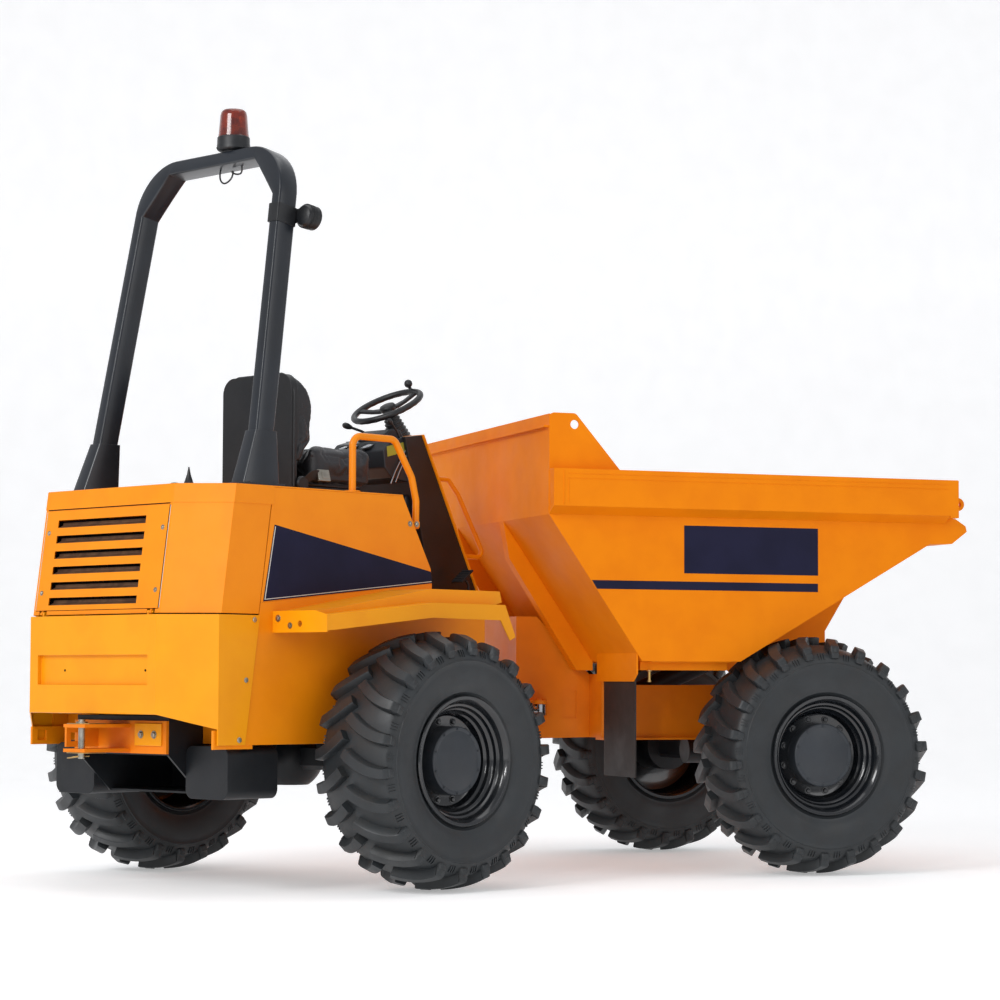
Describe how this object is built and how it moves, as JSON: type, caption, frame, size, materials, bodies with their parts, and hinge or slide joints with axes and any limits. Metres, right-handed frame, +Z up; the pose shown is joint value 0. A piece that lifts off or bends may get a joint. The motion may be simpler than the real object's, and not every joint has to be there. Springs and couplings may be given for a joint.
{
  "type": "articulated site dumper",
  "caption": "Articulated site dumper: forward-tipping skip on a front half hinged to a rear half with engine, seat and roll bar",
  "frame": {"origin": "middle of the footprint's box, on the ground", "axes": "+X the way the front half and its skip point, +Y to its left, +Z up; stored parked on part right lock"},
  "size_m": [4.3069, 2.8299, 3.3184],
  "materials": {
    "body_paint": "orange gloss enamel on folded sheet",
    "chassis_paint": "orange enamel on welded plate",
    "black_paint": "black satin enamel",
    "roll_bar_paint": "black satin powder coat",
    "wheel_paint": "black gloss enamel",
    "tyre_rubber": "black rubber, matt",
    "flap_rubber": "black sheet rubber",
    "plated_steel": "zinc plated",
    "ram_chrome": "hard chromed rod",
    "black_plastic": "moulded, fine grain",
    "seat_vinyl": "black vinyl, sewn pleats",
    "amber_lens": "clear amber lens",
    "cast_block": "painted casting",
    "hinge_steel": "bright steel pin"
  },
  "bodies": {
    "front_body": {"front_chassis": "chassis_paint", "kingpin": "hinge_steel", "skip_hinge_pin": "hinge_steel", "front_axle": "black_paint", "tip_ram_pin": "plated_steel"},
    "skip": {"skip_shell": "body_paint", "skip_rim": "body_paint", "skip_underframe": "chassis_paint", "mudflaps": "flap_rubber"},
    "tip_barrel": {"tip_ram_barrel": "black_paint"},
    "tip_rod": {"tip_ram_rod": "ram_chrome"},
    "steer_barrel": {"steer_ram_barrel": "black_paint"},
    "steer_rod": {"steer_ram_rod": "ram_chrome"},
    "engine_cover": {"engine_cover": "body_paint", "louvre_panel": "body_paint"},
    "steering_wheel": {"steering_wheel": "black_plastic"},
    "wheel_front_left": {"tyre_front_left": "tyre_rubber", "rim_front_left": "wheel_paint"},
    "wheel_front_right": {"tyre_front_right": "tyre_rubber", "rim_front_right": "wheel_paint"},
    "wheel_rear_left": {"tyre_rear_left": "tyre_rubber", "rim_rear_left": "wheel_paint"},
    "wheel_rear_right": {"tyre_rear_right": "tyre_rubber", "rim_rear_right": "wheel_paint"},
    "rear_body": {"rear_chassis": "black_paint", "pivot_carrier": "chassis_paint", "engine": "cast_block", "belly_tanks": "black_paint", "rear_axle": "black_paint", "steer_ram_pin": "plated_steel", "tow_hitch": "chassis_paint", "tow_pin": "plated_steel", "bumper": "body_paint", "rear_deck": "body_paint", "side_cowls": "body_paint", "side_panels": "body_paint", "floor_plate": "body_paint", "fenders": "body_paint", "rops_hoop": "roll_bar_paint", "beacon_base": "black_plastic", "beacon_lens": "amber_lens", "work_lamp": "black_plastic", "grab_rails": "body_paint", "console": "black_plastic", "console_front": "body_paint", "steering_column": "black_plastic", "seat_frame": "black_plastic", "seat_base": "seat_vinyl", "seat_back": "seat_vinyl"}
  },
  "joints": [
    {"name": "steer", "type": "hinge", "parent": "front_body", "child": "rear_body", "pos_m": [0.1035, 0.325, 0.735], "axis": [0, 0, 1], "range_deg": [-58.5, 5.5]},
    {"name": "skip_tip", "type": "hinge", "parent": "front_body", "child": "skip", "pos_m": [1.6535, 0.325, 0.86], "axis": [0, 1, 0], "range_deg": [0, 70]},
    {"name": "tip_ram_swing", "type": "hinge", "parent": "front_body", "child": "tip_barrel", "pos_m": [0.7235, 0.325, 0.74], "axis": [0, -1, 0], "range_deg": [-5, 5]},
    {"name": "tip_ram_slide", "type": "slide", "parent": "tip_barrel", "child": "tip_rod", "axis": [0.9198, 0, 0.3923], "range_m": [0, 0.3486]},
    {"name": "steer_ram_swing", "type": "hinge", "parent": "rear_body", "child": "steer_barrel", "pos_m": [-0.34889, -0.29164, 0.735], "axis": [0, 0, 1], "range_deg": [-3, 12]},
    {"name": "steer_ram_slide", "type": "slide", "parent": "steer_barrel", "child": "steer_rod", "axis": [0.9144, 0.4048, 0], "range_m": [-0.0342, 0.3447]},
    {"name": "engine_cover_hinge", "type": "hinge", "parent": "rear_body", "child": "engine_cover", "pos_m": [-1.95127, -0.69947, 1.14], "axis": [0.4462, -0.8949, 0], "range_deg": [0, 70]},
    {"name": "steering_wheel_turn", "type": "hinge", "parent": "rear_body", "child": "steering_wheel", "pos_m": [-0.46926, 0.03943, 2.115], "axis": [-0.4339, -0.2163, 0.8746], "continuous": true},
    {"name": "wheel_front_left_spin", "type": "hinge", "parent": "front_body", "child": "wheel_front_left", "pos_m": [1.3635, 1.22, 0.5375], "axis": [0, 1, 0], "continuous": true},
    {"name": "wheel_front_right_spin", "type": "hinge", "parent": "front_body", "child": "wheel_front_right", "pos_m": [1.3635, -0.57, 0.5375], "axis": [0, 1, 0], "continuous": true},
    {"name": "wheel_rear_left_spin", "type": "hinge", "parent": "rear_body", "child": "wheel_rear_left", "pos_m": [-1.38767, 0.5816, 0.5375], "axis": [-0.4462, 0.8949, 0], "continuous": true},
    {"name": "wheel_rear_right_spin", "type": "hinge", "parent": "rear_body", "child": "wheel_rear_right", "pos_m": [-0.58897, -1.02033, 0.5375], "axis": [-0.4462, 0.8949, 0], "continuous": true}
  ],
  "couplings": [
    {"joint": "tip_ram_swing", "follows": "skip_tip", "ratio": -0.010549},
    {"joint": "tip_ram_slide", "follows": "skip_tip", "m_per_rad": 0.28371},
    {"joint": "steer_ram_swing", "follows": "steer", "ratio": -0.17498},
    {"joint": "steer_ram_slide", "follows": "steer", "m_per_rad": -0.33569}
  ]
}
